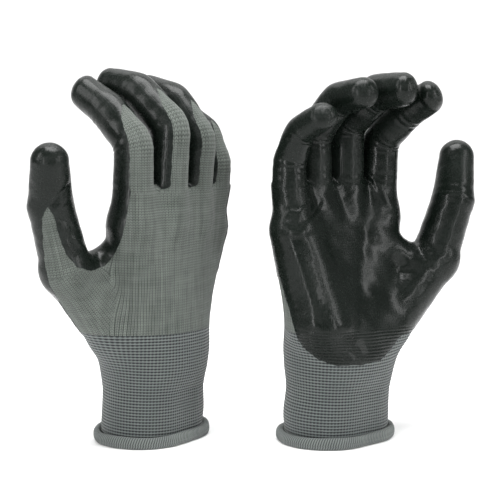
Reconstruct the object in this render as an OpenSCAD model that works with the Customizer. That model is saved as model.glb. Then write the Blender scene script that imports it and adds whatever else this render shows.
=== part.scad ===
// Pair of palm-dipped seamless knit work gloves, both for the right hand, standing on their cuff hems.
// Each glove: a rib knit cuff with an overlocked hem and laid-in elastic, a knitted liner for the hand,
// and five jointed finger sleeves, each a knitted liner with a rubbery coating over it.
// Glove frame, before placing: +X toward the thumb, -Y toward the palm, +Z up out of the cuff.

/* [Pair] */
// Distance between the two cuff centres
pair_spacing = 106.5; // [104:0.5:140]
// Turn of glove A about the vertical, in degrees
yaw_a = 235; // [228:1:242]
// Turn of glove B about the vertical, in degrees
yaw_b = 42; // [35:1:49]
// Sideways lean of each hand away from upright, in degrees
lean = 2.2; // [0:0.1:2.6]
// Shift of the pair along X that centres it on the origin
pair_x = -10.27; // [-12:0.01:12]
// Shift of the pair along Y that centres it on the origin
pair_y = 6.63; // [-12:0.01:12]

/* [Cuff] */
// Radius of the cuff's rounded ends
cuff_r = 23.4; // [23:0.1:23.8]
// Distance of each rounded end's centre from the cuff's middle
cuff_flat = 7.9; // [6:0.1:9]
// Height of the top of the cuff's lower tube
cuff_top = 45; // [43:0.5:45]
// Thickness of the rib knit
cuff_t = 1.8; // [1.2:0.1:2]
// Height of the overlocked hem
hem_h = 6.5; // [5:0.5:8]
// Width of the overlocked hem, across its roll
hem_w = 3.7; // [3:0.1:4]
// Number of elastic yarn turns inside the cuff
elastic_n = 5; // [3:1:5]
// Diameter of the elastic yarn
elastic_d = 0.8; // [0.6:0.1:0.9]

/* [Knit and coating] */
// Thickness of the knitted liner
liner_t = 0.8; // [0.7:0.05:0.9]
// Thickness of the dipped coating
coat_t = 0.7; // [0.5:0.05:0.75]

/* [Joints] */
// Height of the wrist's bending line
wrist_z = 50; // [49.5:0.5:50.5]
// Distance that each sleeve starts beyond its own joint
neck = 3.8; // [3.6:0.1:4.2]
// Distance that each sleeve stops short of the next joint
rim = 3.0; // [2.9:0.1:3.4]

/* [Hidden] */
$fn = 48;
FN = 24;
gap = 0.12;
ball_gap = 0.3;
// Farthest that a finger's knuckle bends beyond its rest, in degrees.
bend_room = 28;
cuff_x = -2;
// Each finger: [x, y and z of its root joint, length and angle of its three bones, four liner radii from root to tip].
INDEX  = [ 32.2,  4.4, 149, [17.3,  1.3], [25.2, 46.5], [18.4, 59.5], [9.1, 8.9, 8.2, 7.4]];
MIDDLE = [ 11.6, 14.0, 151, [23.6, -1.8], [29.4, 49.7], [19.2, 77.7], [9.2, 9.0, 8.4, 7.6]];
RING   = [-10.6, 15.1, 149, [19.4, -4.4], [26.7, 40.1], [18.7, 74.8], [9.0, 8.8, 8.2, 7.4]];
PINKY  = [-32.0, 13.4, 143, [11.5, -4.5], [18.0, 23.6], [18.4, 49.2], [8.6, 8.3, 7.6, 6.7]];
// Thumb: root joint, far joint and tip centre, and liner radii at each.
TH0 = [62, -13.8, 112];
TH1 = [68.5, -16.5, 133];
TH2 = [76, -11, 157];
THR = [12.3, 11.0, 9.2];
// Knuckle centres of the hand, from index to pinky, and their radii.
KN = [[32.0, 5, 122.5], [11.2, 12, 125], [-10.8, 12, 124], [-31.6, 8, 117]];
KR = [12.6, 12.6, 12.2, 11.8];

// Places a glove's upright parts.
module stand_a() { translate([pair_x - pair_spacing / 2, pair_y, 0]) rotate([0, 0, yaw_a]) children(); }
module stand_b() { translate([pair_x + pair_spacing / 2, pair_y, 0]) rotate([0, 0, yaw_b]) children(); }
// Places a glove's leaning parts.
module lean_a() { translate([pair_x - pair_spacing / 2, pair_y, 0]) rotate([0, lean, 0]) rotate([0, 0, yaw_a]) children(); }
module lean_b() { translate([pair_x + pair_spacing / 2, pair_y, 0]) rotate([0, lean, 0]) rotate([0, 0, yaw_b]) children(); }

// Turns +Z to the direction from a to b, starting at a.
module along(a, b) {
  d = b - a;
  translate(a) rotate([0, acos(d[2] / norm(d)), atan2(d[1], d[0])]) children();
}

// Outline of the cuff: a rectangle with round ends.
module oval(r) {
  union() {
    translate([cuff_x - cuff_flat, 0]) circle(r = r);
    translate([cuff_x + cuff_flat, 0]) circle(r = r);
    translate([cuff_x - cuff_flat, -r]) square([2 * cuff_flat, 2 * r]);
  }
}

module oval_ring(ro, ri, z0, z1) {
  translate([0, 0, z0]) linear_extrude(height = z1 - z0) difference() { oval(ro); oval(ri); }
}

// Rib knit tube around the lower wrist.
module cuff() {
  color("#787d7a") oval_ring(cuff_r, cuff_r - cuff_t, 1.5, cuff_top);
}

// Rolled overlock edge around the bottom of the cuff.
module hem() {
  color("#6d726f") union() {
    oval_ring(cuff_r + 0.5 + hem_w, cuff_r + 0.5, 0.8, hem_h - 0.8);
    oval_ring(cuff_r + hem_w - 0.3, cuff_r + 0.5, 0, 0.8);
    oval_ring(cuff_r + hem_w - 0.3, cuff_r + 0.5, hem_h - 0.8, hem_h);
  }
}

// Turns of elastic yarn laid against the inside of the rib knit.
module cuff_elastic() {
  ri = cuff_r - cuff_t - 0.15;
  color("#b9beb8") for (i = [0 : elastic_n - 1])
    oval_ring(ri, ri - elastic_d, 8 + 4.6 * i, 8 + 4.6 * i + elastic_d);
}

// Solid form of the hand, grown by g: wrist, palm, heel, ball of the thumb, web and five roots.
module hand_form(g) {
  // palm from the wrist to the knuckles
  hull() {
    for (s = [-1, 1]) translate([cuff_x + s * cuff_flat, 0, 62]) sphere(r = cuff_r + g, $fn = FN);
    for (i = [0 : 3]) translate(KN[i]) sphere(r = KR[i] + g, $fn = FN);
  }
  // heel of the hand under the little finger
  hull() {
    translate([cuff_x - cuff_flat, 0, 62]) sphere(r = 20 + g, $fn = FN);
    translate([-24, -6, 68]) sphere(r = 16.6 + g, $fn = FN);
    translate(KN[3]) sphere(r = KR[3] + g, $fn = FN);
  }
  // ball of the thumb
  hull() {
    translate([cuff_x + cuff_flat, 0, 62]) sphere(r = 20 + g, $fn = FN);
    translate([27.5, -6.5, 67]) sphere(r = 16.8 + g, $fn = FN);
    translate([57.5, -12.5, 97]) sphere(r = 13.2 + g, $fn = FN);
  }
  // thumb root
  hull() {
    translate([57.6, -12.4, 97]) sphere(r = 12.9 + g, $fn = FN);
    along(TH0, TH1) translate([0, 0, -rim - 4]) cylinder(h = 6, r = THR[0] + g, $fn = FN);
  }
  // web between thumb and index
  hull() {
    translate([47, -9, 88]) sphere(r = 10.5 + g, $fn = FN);
    translate([28, 2, 100]) sphere(r = 11 + g, $fn = FN);
    translate([24, -4, 75]) sphere(r = 12 + g, $fn = FN);
  }
  // webs between the fingers
  hull() {
    translate([31, 6.5, 132]) sphere(r = 8.2 + g, $fn = FN);
    translate([11.6, 13.2, 133.5]) sphere(r = 8.2 + g, $fn = FN);
  }
  hull() {
    translate([11.2, 13.0, 133.2]) sphere(r = 8.0 + g, $fn = FN);
    translate([-10.6, 14.2, 132.5]) sphere(r = 8.2 + g, $fn = FN);
    translate([-31, 11.5, 130]) sphere(r = 8 + g, $fn = FN);
  }
  // finger roots
  for (i = [0 : 3]) let (f = [INDEX, MIDDLE, RING, PINKY][i]) hull() {
    translate(KN[i]) sphere(r = KR[i] - 1 + g, $fn = FN);
    translate([f[0], f[1], f[2]]) rotate([f[3][1], 0, 0]) translate([0, 0, -rim - 4]) cylinder(h = 6, r = f[6][0] + g, $fn = FN);
  }
}

// Straight way out at the top of each finger root, and below the wrist.
module hand_clear() {
  translate([0, 0, wrist_z + 7 - 60]) cube([200, 200, 120], center = true);
  for (f = [INDEX, MIDDLE, RING, PINKY])
    translate([f[0], f[1], f[2]]) rotate([f[3][1], 0, 0]) translate([0, 0, -rim]) cylinder(h = 30, r = f[6][0] + 1.2, $fn = FN);
  along(TH0, TH1) translate([0, 0, -rim]) cylinder(h = 40, r = THR[0] + 3, $fn = FN);
}

// Rounded neck of the hand, which turns inside the top of the cuff.
module wrist_neck(r) {
  hull() for (s = [-1, 1]) translate([cuff_x + s * cuff_flat, 0, wrist_z]) sphere(r = r, $fn = 32);
}

// Knitted hand between the wrist and the finger roots.
module hand_liner() {
  rn = cuff_r - cuff_t - 0.5;
  zf = wrist_z + 7;
  color("#787d7a") union() {
    difference() {
      hand_form(0);
      difference() {
        hand_form(-liner_t);
        translate([0, 0, zf + 1.1 - 60]) cube([200, 200, 120], center = true);
      }
      hand_clear();
      translate([0, 0, wrist_z]) linear_extrude(height = 20) oval(sqrt(pow(rn - liner_t, 2) - 49) - 0.4, $fn = 32);
    }
    difference() {
      wrist_neck(rn);
      wrist_neck(rn - liner_t);
      translate([0, 0, wrist_z - 15 - 50]) cube([200, 200, 100], center = true);
      translate([0, 0, zf + 0.55 + 50]) cube([200, 200, 100], center = true);
    }
  }
}

// Rubbery coating over the palm, the sides and the web of the thumb.
module palm_coating() {
  color("#1f2523") intersection() {
    difference() {
      hand_form(gap + coat_t);
      hand_form(gap);
      hand_clear();
      translate([0, 0, wrist_z + 8 - 60]) cube([200, 200, 120], center = true);
    }
    union() {
      translate([-100, -98.5, 40]) rotate([-7, 0, 0]) cube([200, 100, 130]);
      translate([52, -2, 100]) sphere(r = 16, $fn = 32);
    }
  }
}

// Round neck that turns in the sleeve below it.
module ring_neck(r) {
  difference() {
    sphere(r = r);
    cylinder(h = 4 * r, r = r - 1.3, center = true);
  }
}

// Everything above the slanted plane that is at height e on the back (+y) side of a tube of radius r, and h higher on the palm side.
module above_slant(r, e, h) {
  translate([0, 0, e + h / 2]) rotate([-atan(h / (2 * r)), 0, 0]) translate([-50, -50, 0]) cube([100, 100, 100]);
}

// Everything below such a plane.
module below_slant(r, e, h) {
  translate([0, 0, e + h / 2]) rotate([-atan(h / (2 * r)), 0, 0]) translate([-50, -50, -100]) cube([100, 100, 100]);
}

// How far the palm side of a finger's two sleeves is cut back from their knuckle, to leave room to bend.
function back(f) = (f[6][1] + 0.9) * tan((f[4][1] - f[3][1] + bend_room) / 2 + 1.5);

// Open sleeve from its joint at the origin to the next joint, l away. r0 and r1 are its radii, nr its neck's.
module sleeve(l, r0, r1, nr, e = 0) {
  z0 = neck;
  z1 = l - (e > 0 ? 0.5 : rim);
  q0 = r0 + (r1 - r0) * z0 / l;
  q1 = r0 + (r1 - r0) * z1 / l;
  union() {
    ring_neck(nr);
    difference() {
      translate([0, 0, z0]) cylinder(h = z1 - z0, r1 = q0, r2 = q1);
      translate([0, 0, z0 + liner_t]) cylinder(h = z1 - z0, r1 = q0 - liner_t, r2 = q1 - liner_t - 0.05);
      translate([0, 0, -1]) cylinder(h = 10, r = nr - 1.3);
      if (e > 0) above_slant(r1 + 0.9, l - 0.5, 0.5 - e);
    }
  }
}

// Coating on one side of an open sleeve.
module sleeve_coat(l, r0, r1, cut, e = 0) {
  z0 = neck + 0.6;
  z1 = l - (e > 0 ? 0.5 : rim) - 0.2;
  g0 = r0 + (r1 - r0) * z0 / l + gap;
  g1 = r0 + (r1 - r0) * z1 / l + gap;
  difference() {
    translate([0, 0, z0]) cylinder(h = z1 - z0, r1 = g0 + coat_t, r2 = g1 + coat_t);
    translate([0, 0, z0 - 1]) cylinder(h = z1 - z0 + 2, r1 = g0, r2 = g1);
    translate([-50, cut, -10]) cube([100, 100, 100]);
    if (e > 0) above_slant(r1 + 0.9, l - 0.7, 0.5 - e);
  }
}

// Solid form of a finger's outer two bones, bent by b, grown by g. The first starts z0 beyond the joint.
module tip_form(z0, l2, l3, b, r1, r2, r3, g) {
  translate([0, 0, z0]) cylinder(h = l2 - z0, r1 = r1 + g, r2 = r2 + g - 0.25);
  translate([0, 0, l2]) {
    sphere(r = r2 + g);
    rotate([b, 0, 0]) {
      cylinder(h = l3 - 1, r1 = r2 + g - 0.3, r2 = r3 + g - 0.3);
      translate([0, 0, l3]) sphere(r = r3 + g);
    }
  }
}

// Closed sleeve over a finger's outer two bones.
module tip(l2, l3, b, r1, r2, r3, nr, e) {
  union() {
    ring_neck(nr);
    difference() {
      tip_form(-1, l2, l3, b, r1, r2, r3, 0);
      difference() {
        tip_form(-1.5, l2, l3, b, r1, r2, r3, -liner_t);
        below_slant(r1 + 0.9, 0.3 + liner_t, e - 0.3);
      }
      below_slant(r1 + 0.9, 0.3, e - 0.3);
      translate([0, 0, -1]) cylinder(h = 14, r = nr - 1.3);
    }
  }
}

// Coating over a closed sleeve: all of the tip, and one side of the rest.
module tip_coat(l2, l3, b, r1, r2, r3, cut, cap, e) {
  difference() {
    tip_form(0, l2, l3, b, r1, r2, r3, gap + coat_t);
    tip_form(-1, l2, l3, b, r1, r2, r3, gap);
    below_slant(r1 + 0.9, 0.8, e - 0.3);
    translate([-50, cut, -50]) cube([100, 100, 50 + cap]);
  }
}

module finger_base_liner(f) {
  color("#787d7a") translate([f[0], f[1], f[2]]) rotate([f[3][1], 0, 0])
    sleeve(f[3][0], f[6][0], f[6][1], f[6][0] - liner_t - ball_gap, back(f));
}

module finger_base_coating(f) {
  color("#1f2523") translate([f[0], f[1], f[2]]) rotate([f[3][1], 0, 0])
    sleeve_coat(f[3][0], f[6][0], f[6][1], 3, back(f));
}

// Moves to a finger's second joint and turns along its second bone.
module at_knuckle(f) {
  translate([f[0], f[1], f[2]]) rotate([f[3][1], 0, 0]) translate([0, 0, f[3][0]]) rotate([f[4][1] - f[3][1], 0, 0]) children();
}

module finger_tip_liner(f) {
  color("#787d7a") at_knuckle(f)
    tip(f[4][0], f[5][0], f[5][1] - f[4][1], f[6][1], f[6][2], f[6][3], f[6][1] - liner_t - ball_gap - 0.15, back(f));
}

module finger_tip_coating(f) {
  color("#1f2523") at_knuckle(f)
    tip_coat(f[4][0], f[5][0], f[5][1] - f[4][1], f[6][1], f[6][2], f[6][3], 2.5, f[4][0] * 0.8, back(f));
}

// Thumb's own turn about its length, which sets the side that the coating leaves bare.
module thumb_base_liner() {
  color("#787d7a") along(TH0, TH1) sleeve(norm(TH1 - TH0), THR[0], THR[1], THR[0] - liner_t - ball_gap);
}

module thumb_base_coating() {
  color("#1f2523") along(TH0, TH1) rotate([0, 0, -90 + 30]) sleeve_coat(norm(TH1 - TH0), THR[0], THR[1], 5);
}

// Solid form of the thumb's outer bone, grown by g. It starts z0 beyond the joint.
module thumb_form(z0, g) {
  l = norm(TH2 - TH1);
  translate([0, 0, z0]) cylinder(h = l - 1 - z0, r1 = THR[1] + g, r2 = THR[2] + g - 0.3);
  translate([0, 0, l]) sphere(r = THR[2] + g);
}

module thumb_tip_liner() {
  nr = THR[1] - liner_t - ball_gap - 0.15;
  color("#787d7a") along(TH1, TH2) union() {
    ring_neck(nr);
    difference() {
      thumb_form(neck, 0);
      thumb_form(neck + liner_t, -liner_t);
      translate([0, 0, -1]) cylinder(h = 10, r = nr - 1.3);
    }
  }
}

module thumb_tip_coating() {
  color("#1f2523") along(TH1, TH2) rotate([0, 0, -90 + 30]) difference() {
    thumb_form(neck + 0.6, gap + coat_t);
    thumb_form(neck - 1, gap);
    translate([-50, 5, -50]) cube([100, 100, 50 + 9]);
  }
}

lean_a() cuff();  // glove_a_cuff
stand_a() hem();  // glove_a_hem
lean_a() cuff_elastic();  // glove_a_cuff_elastic
lean_a() hand_liner();  // glove_a_hand_liner
lean_a() palm_coating();  // glove_a_palm_coating
lean_a() thumb_base_liner();  // glove_a_thumb_base_liner
lean_a() thumb_base_coating();  // glove_a_thumb_base_coating
lean_a() thumb_tip_liner();  // glove_a_thumb_tip_liner
lean_a() thumb_tip_coating();  // glove_a_thumb_tip_coating
lean_a() finger_base_liner(INDEX);  // glove_a_index_base_liner
lean_a() finger_base_coating(INDEX);  // glove_a_index_base_coating
lean_a() finger_tip_liner(INDEX);  // glove_a_index_tip_liner
lean_a() finger_tip_coating(INDEX);  // glove_a_index_tip_coating
lean_a() finger_base_liner(MIDDLE);  // glove_a_middle_base_liner
lean_a() finger_base_coating(MIDDLE);  // glove_a_middle_base_coating
lean_a() finger_tip_liner(MIDDLE);  // glove_a_middle_tip_liner
lean_a() finger_tip_coating(MIDDLE);  // glove_a_middle_tip_coating
lean_a() finger_base_liner(RING);  // glove_a_ring_base_liner
lean_a() finger_base_coating(RING);  // glove_a_ring_base_coating
lean_a() finger_tip_liner(RING);  // glove_a_ring_tip_liner
lean_a() finger_tip_coating(RING);  // glove_a_ring_tip_coating
lean_a() finger_base_liner(PINKY);  // glove_a_pinky_base_liner
lean_a() finger_base_coating(PINKY);  // glove_a_pinky_base_coating
lean_a() finger_tip_liner(PINKY);  // glove_a_pinky_tip_liner
lean_a() finger_tip_coating(PINKY);  // glove_a_pinky_tip_coating
lean_b() cuff();  // glove_b_cuff
stand_b() hem();  // glove_b_hem
lean_b() cuff_elastic();  // glove_b_cuff_elastic
lean_b() hand_liner();  // glove_b_hand_liner
lean_b() palm_coating();  // glove_b_palm_coating
lean_b() thumb_base_liner();  // glove_b_thumb_base_liner
lean_b() thumb_base_coating();  // glove_b_thumb_base_coating
lean_b() thumb_tip_liner();  // glove_b_thumb_tip_liner
lean_b() thumb_tip_coating();  // glove_b_thumb_tip_coating
lean_b() finger_base_liner(INDEX);  // glove_b_index_base_liner
lean_b() finger_base_coating(INDEX);  // glove_b_index_base_coating
lean_b() finger_tip_liner(INDEX);  // glove_b_index_tip_liner
lean_b() finger_tip_coating(INDEX);  // glove_b_index_tip_coating
lean_b() finger_base_liner(MIDDLE);  // glove_b_middle_base_liner
lean_b() finger_base_coating(MIDDLE);  // glove_b_middle_base_coating
lean_b() finger_tip_liner(MIDDLE);  // glove_b_middle_tip_liner
lean_b() finger_tip_coating(MIDDLE);  // glove_b_middle_tip_coating
lean_b() finger_base_liner(RING);  // glove_b_ring_base_liner
lean_b() finger_base_coating(RING);  // glove_b_ring_base_coating
lean_b() finger_tip_liner(RING);  // glove_b_ring_tip_liner
lean_b() finger_tip_coating(RING);  // glove_b_ring_tip_coating
lean_b() finger_base_liner(PINKY);  // glove_b_pinky_base_liner
lean_b() finger_base_coating(PINKY);  // glove_b_pinky_base_coating
lean_b() finger_tip_liner(PINKY);  // glove_b_pinky_tip_liner
lean_b() finger_tip_coating(PINKY);  // glove_b_pinky_tip_coating
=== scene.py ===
"""Looks of a pair of nitrile-dipped knit work gloves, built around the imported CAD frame.

One glove skin is meshed once from a distance field in the glove's own frame (mm; +x toward the thumb, +y back of the
hand, +z up), bent into the relaxed pose, cut into the pieces that the joints need, and placed twice.
"""

import math

import bpy
import numpy as np
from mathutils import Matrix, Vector


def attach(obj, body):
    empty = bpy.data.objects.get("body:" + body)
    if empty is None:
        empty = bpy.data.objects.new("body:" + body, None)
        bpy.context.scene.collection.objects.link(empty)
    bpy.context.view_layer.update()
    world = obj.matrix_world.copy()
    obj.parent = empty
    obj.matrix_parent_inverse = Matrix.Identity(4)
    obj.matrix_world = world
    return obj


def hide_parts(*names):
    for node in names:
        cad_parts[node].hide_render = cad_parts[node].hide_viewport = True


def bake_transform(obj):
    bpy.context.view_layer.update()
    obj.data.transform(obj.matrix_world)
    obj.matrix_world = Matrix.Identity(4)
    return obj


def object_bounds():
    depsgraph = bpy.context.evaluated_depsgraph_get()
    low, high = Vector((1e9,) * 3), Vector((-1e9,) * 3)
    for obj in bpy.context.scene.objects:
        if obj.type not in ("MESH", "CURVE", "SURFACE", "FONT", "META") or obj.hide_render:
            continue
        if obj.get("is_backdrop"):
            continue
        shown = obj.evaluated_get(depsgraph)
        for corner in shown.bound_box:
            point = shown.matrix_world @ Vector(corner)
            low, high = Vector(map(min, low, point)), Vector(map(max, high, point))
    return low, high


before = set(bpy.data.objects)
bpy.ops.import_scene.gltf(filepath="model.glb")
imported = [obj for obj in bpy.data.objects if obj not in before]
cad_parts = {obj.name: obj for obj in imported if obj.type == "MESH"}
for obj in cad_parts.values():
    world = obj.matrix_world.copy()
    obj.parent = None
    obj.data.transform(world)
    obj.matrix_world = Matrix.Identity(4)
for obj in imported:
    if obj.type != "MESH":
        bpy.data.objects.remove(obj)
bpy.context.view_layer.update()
MM = 0.001

# ------------------------------------------------------------------ numbers shared with part.scad
PAIR, PAIR_X, PAIR_Y, LEAN = 106.5, -10.27, 6.63, 2.2
YAW = {"a": 235.0, "b": 42.0}
SIDE = {"a": -1, "b": 1}
CUFF_X, CUFF_R, CUFF_F = -2.0, 23.4, 7.9
# x, y, z of the root joint; (length, bend) of the three bones
BONES = {
    "index": (32.2, 4.4, 149, (17.3, 1.3), (25.2, 46.5), (18.4, 59.5)),
    "middle": (11.6, 14.0, 151, (23.6, -1.8), (29.4, 49.7), (19.2, 77.7)),
    "ring": (-10.6, 15.1, 149, (19.4, -4.4), (26.7, 40.1), (18.7, 74.8)),
    "pinky": (-32.0, 13.4, 143, (11.5, -4.5), (18.0, 23.6), (18.4, 49.2)),
}
FINGERS = list(BONES)
# skin radii at z 141, and at the two knuckles and the tip
RADII = {
    "index": (10.1, 9.4, 8.6, 7.7),
    "middle": (10.2, 9.7, 8.9, 7.8),
    "ring": (9.7, 9.2, 8.4, 7.5),
    "pinky": (9.2, 8.4, 7.5, 6.7),
}
# how far the skin's finger sits from the CAD's bone line (x, y), and its extra bends: the picture shows it further back
SHIFT = {
    "index": (-0.7, 4.4, 2.5, 2.5),
    "middle": (-0.8, 2.0, 3.0, 4.0),
    "ring": (-1.6, 2.2, 1.5, 1.5),
    "pinky": (-0.8, 1.2, 0.0, 12.0),
}
# how much deeper (palm to back) than wide a finger is
DEEP = {"index": 1.10, "middle": 1.12, "ring": 1.05, "pinky": 1.03}
SPREAD = {"index": 0.38, "middle": 0.14, "ring": -0.16, "pinky": -0.44}
KN = np.array([[31.2, 8.6, 122.5], [10.4, 13.2, 125.0], [-12.2, 13.4, 124.0], [-32.2, 9.0, 117.0]])
KR = (12.7, 12.7, 12.2, 11.7)
TH = np.array([[27.5, -6.3, 65.9], [59.2, -12.7, 99.1], [68.5, -16.5, 133.0], [76.0, -11.0, 157.0]])
THR = (16.3, 12.9, 11.4, 9.4)
TH0 = np.array([62.0, -13.8, 112.0])
SEAM = 141.0
CUFF_TOP = 63.4

# ------------------------------------------------------------------ camera
CAM = np.array([-6.8, -842.4, 217.0])
AIM = np.array([-6.8, 6.63, 105.8])
LENS = 110.9
cam_data = bpy.data.cameras.new("photo_camera")
cam = bpy.data.objects.new("photo_camera", cam_data)
bpy.context.scene.collection.objects.link(cam)
cam_data.lens = LENS
cam_data.sensor_width = 36.0
cam_data.clip_start, cam_data.clip_end = 0.05, 20.0
cam.location = Vector(CAM * MM)
cam.rotation_mode = "QUATERNION"
cam.rotation_quaternion = Vector(AIM - CAM).to_track_quat("-Z", "Y")
bpy.context.scene.camera = cam


def place(g, p):
    """Glove frame to row frame, both mm."""
    p = np.asarray(p, float)
    y, l = math.radians(YAW[g]), math.radians(LEAN)
    x1 = p[..., 0] * math.cos(y) - p[..., 1] * math.sin(y)
    y1 = p[..., 0] * math.sin(y) + p[..., 1] * math.cos(y)
    z1 = p[..., 2]
    return np.stack(
        [
            x1 * math.cos(l) + z1 * math.sin(l) + PAIR_X + SIDE[g] * PAIR / 2,
            y1 + PAIR_Y,
            -x1 * math.sin(l) + z1 * math.cos(l),
        ],
        -1,
    )


def turn(g, n):
    return place(g, n) - place(g, np.zeros(3))


def pixels(w):
    """Where the camera sees a row-frame point (mm), in a 500 x 500 picture."""
    f = AIM - CAM
    f = f / np.linalg.norm(f)
    r = np.cross(f, [0, 0, 1.0])
    r /= np.linalg.norm(r)
    u = np.cross(r, f)
    q = w - CAM
    d = q @ f
    k = LENS / 36.0 * 500.0
    return np.stack([250 + k * (q @ r) / d, 250 - k * (q @ u) / d], -1)


# ------------------------------------------------------------------ small maths
def step(a, b, x):
    t = np.clip((x - a) / (b - a), 0, 1)
    return t * t * (3 - 2 * t)


def smin(a, b, k):
    h = np.maximum(k - np.abs(a - b), 0.0) / k
    return np.minimum(a, b) - h * h * k * 0.25


def cone(p, a, b, ra, rb):
    a, b = np.asarray(a, np.float32), np.asarray(b, np.float32)
    d = b - a
    t = np.clip((p - a) @ d / float(d @ d), 0, 1)
    q = p - a - t[:, None] * d
    return np.sqrt((q * q).sum(1)) - (ra + (rb - ra) * t)


def bow(s):
    return np.where(s < 12, s * np.abs(s) / 24.0, s - 6.0) * (s > 0)


class Finger:
    def __init__(self, i, name):
        x, y, z, b1, b2, b3 = BONES[name]
        dx, dy, e2, e3 = SHIFT[name]
        x, y, b2, b3 = x + dx, y + dy, (b2[0], b2[1] + e2), (b3[0], b3[1] + e3)
        self.i, self.name, self.x = i, name, x
        self.y = y + (z - SEAM) * math.tan(math.radians(b1[1]))
        self.pip = (z - SEAM) / math.cos(math.radians(b1[1])) + b1[0]
        self.dip = self.pip + b2[0]
        self.tip = self.dip + b3[0]
        self.r = RADII[name]
        self.spread = SPREAD[name]
        s = np.arange(0, 110, 0.25)
        f1, f2, f3 = (math.radians(b[1]) for b in (b1, b2, b3))
        t1 = 8.5 if name != "pinky" else 6.5
        phi = f1 * step(0, 6, s) + (f2 - f1) * step(self.pip - t1, self.pip + t1, s)
        phi += (f3 - f2) * step(self.dip - 7, self.dip + 7, s)
        mid = (phi[1:] + phi[:-1]) / 2
        self.s, self.phi = s, phi
        self.cy = self.y - np.concatenate([[0], np.cumsum(np.sin(mid) * 0.25)])
        self.cz = SEAM + np.concatenate([[0], np.cumsum(np.cos(mid) * 0.25)])

    def local(self, c):
        s = c[:, 2] - SEAM
        return c[:, 0] - self.x - self.spread * bow(s), c[:, 1] - self.y, s

    def radius(self, s):
        return np.interp(s, [0, self.pip, self.dip, self.tip], self.r)

    def field(self, c):
        k = KN[self.i]
        zc = np.clip(c[:, 2], k[2], SEAM + self.tip)
        t = np.clip((zc - k[2]) / (SEAM - k[2]), 0, 1)
        cx = k[0] + (self.x - k[0]) * t + self.spread * bow(zc - SEAM)
        cy = k[1] + (self.y - k[1]) * t
        r = np.interp(zc, [k[2], SEAM, SEAM + self.pip, SEAM + self.dip, SEAM + self.tip], [KR[self.i] - 1.6, *self.r])
        return np.sqrt((c[:, 0] - cx) ** 2 + ((c[:, 1] - cy) / DEEP[self.name]) ** 2 + (c[:, 2] - zc) ** 2) - r

    def pose(self, c):
        lx, ly, s = self.local(c)
        rad = self.radius(s)
        up = np.maximum(ly / rad, 0) ** 2
        ly = ly + up * (0.9 * np.exp(-(((s - self.pip) / 5.5) ** 2)) + 0.35 * np.exp(-(((s - self.dip) / 4.5) ** 2)))
        phi = np.interp(s, self.s, self.phi)
        return np.stack(
            [
                self.x + lx,
                np.interp(s, self.s, self.cy) + ly * np.cos(phi),
                np.interp(s, self.s, self.cz) + ly * np.sin(phi),
            ],
            -1,
        )


FG = [Finger(i, n) for i, n in enumerate(FINGERS)]


def palm_field(c):
    q = np.maximum(np.abs(c[:, 0] - CUFF_X) - CUFF_F, 0)
    zc = np.clip(c[:, 2], -50, 47)
    d = np.sqrt(q * q + c[:, 1] ** 2 + (c[:, 2] - zc) ** 2) - CUFF_R
    for k, o, r in zip(KN, (0.9, 0.3, -0.3, -0.9), KR):
        d = smin(d, cone(c, (CUFF_X + o * CUFF_F, 0, 48), k, CUFF_R - 0.6, r), 10.0)
    d = smin(d, cone(c, (-10, 0, 47), (-24, -6, 66), 17.5, 16.2), 6.0)
    d = smin(d, cone(c, (-24, -6, 66), KN[3], 16.2, 11.3), 6.0)
    return d


def thumb_field(c):
    d = cone(c, TH[0], TH[1], THR[0], THR[1])
    d = np.minimum(d, cone(c, TH[1], TH[2], THR[1], THR[2]))
    return np.minimum(d, cone(c, TH[2], TH[3], THR[2], THR[3]))


def field(c):
    z = c[:, 2]
    d = palm_field(c)
    d = smin(d, cone(c, TH[0], TH[1], THR[0], THR[1]), np.interp(z, [60, 78], [15.0, 8.0]))
    up = smin(cone(c, TH[1], TH[2], THR[1], THR[2]), cone(c, TH[2], TH[3], THR[2], THR[3]), 2.0)
    d = smin(d, up, np.interp(z, [98, 108], [6.0, 2.5]))
    d = smin(d, cone(c, (50.3, -10.9, 94.6), (22.5, 4.5, 111.0), 8.6, 8.6), 7.0)
    for a, b in ((0, 1), (1, 2), (2, 3)):
        m = (KN[a] + KN[b]) / 2
        m2 = np.array([(FG[a].x + FG[b].x) / 2, (FG[a].y + FG[b].y) / 2, 137.5 if b < 3 else 136.7])
        d = smin(d, cone(c, (m[0], m[1] - 1.0, 118), m2, 9.6, 6.8), 7.0)
    k = np.interp(z, [141, 148], [5.5, 0.7])
    for f in FG:
        d = smin(d, f.field(c), k)
    return d


def gradient(c, e=0.25):
    g = np.zeros_like(c)
    for i in range(3):
        o = np.zeros(3)
        o[i] = e
        g[:, i] = (field(c + o) - field(c - o)) / (2 * e)
    return g


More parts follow.
